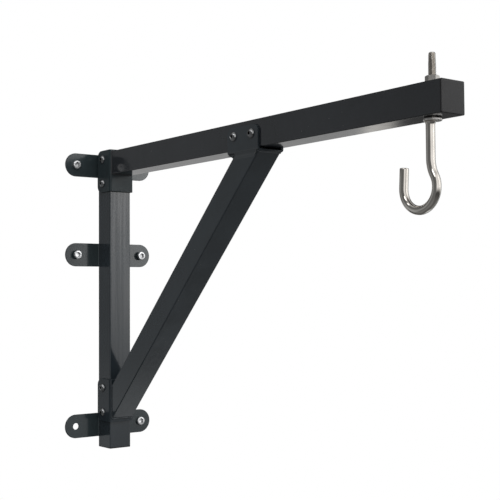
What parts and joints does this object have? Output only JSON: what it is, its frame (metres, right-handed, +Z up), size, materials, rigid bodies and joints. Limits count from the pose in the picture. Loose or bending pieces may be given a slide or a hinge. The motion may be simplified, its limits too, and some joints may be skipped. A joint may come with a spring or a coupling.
{
  "type": "punch bag wall bracket",
  "caption": "Wall bracket for hanging a punch bag: upright post with wall ears, level arm, diagonal strut and a swivelling open hook.",
  "frame": {"origin": "centre of the middle wall ear's back face, on the wall plane", "axes": "+Z up; +Y into the wall, so the arm reaches out along -Y; +X to the right for someone who faces the wall"},
  "size_m": [0.208, 1.0325, 0.6815],
  "materials": {
    "ear_paint": "gloss black powder coat",
    "post_paint": "gloss black powder coat",
    "arm_paint": "gloss black powder coat",
    "strut_paint": "gloss black powder coat",
    "saddle_paint": "gloss black powder coat",
    "cap_plastic": "moulded black plastic",
    "bolt_zinc": "bright zinc plate",
    "washer_zinc": "bright zinc plate",
    "nut_zinc": "bright zinc plate",
    "wall_bolt_zinc": "bright zinc plate",
    "hook_steel": "polished steel"
  },
  "bodies": {
    "bracket": {"wall_ear_top": "ear_paint", "wall_ear_middle": "ear_paint", "wall_ear_bottom": "ear_paint", "post_tube": "post_paint", "post_top_cap": "cap_plastic", "post_bottom_cap": "cap_plastic", "arm_saddle": "saddle_paint", "arm_tube": "arm_paint", "arm_end_cap": "cap_plastic", "strut_lower_saddle": "saddle_paint", "strut_tube": "strut_paint", "strut_upper_saddle": "saddle_paint", "arm_saddle_bolts": "bolt_zinc", "arm_saddle_washers": "washer_zinc", "arm_saddle_nuts": "nut_zinc", "strut_lower_bolts": "bolt_zinc", "strut_lower_washers": "washer_zinc", "strut_lower_nuts": "nut_zinc", "strut_upper_bolts": "bolt_zinc", "strut_upper_washers": "washer_zinc", "strut_upper_nuts": "nut_zinc", "wall_bolts": "wall_bolt_zinc", "hook_thrust_washer": "washer_zinc"},
    "hook": {"hook_rod": "hook_steel", "hook_collar": "hook_steel", "hook_nut": "hook_steel"}
  },
  "joints": [
    {"name": "hook_swivel", "type": "hinge", "parent": "bracket", "child": "hook", "pos_m": [0, -0.9605, 0.1965], "axis": [0, 0, 1], "continuous": true}
  ]
}
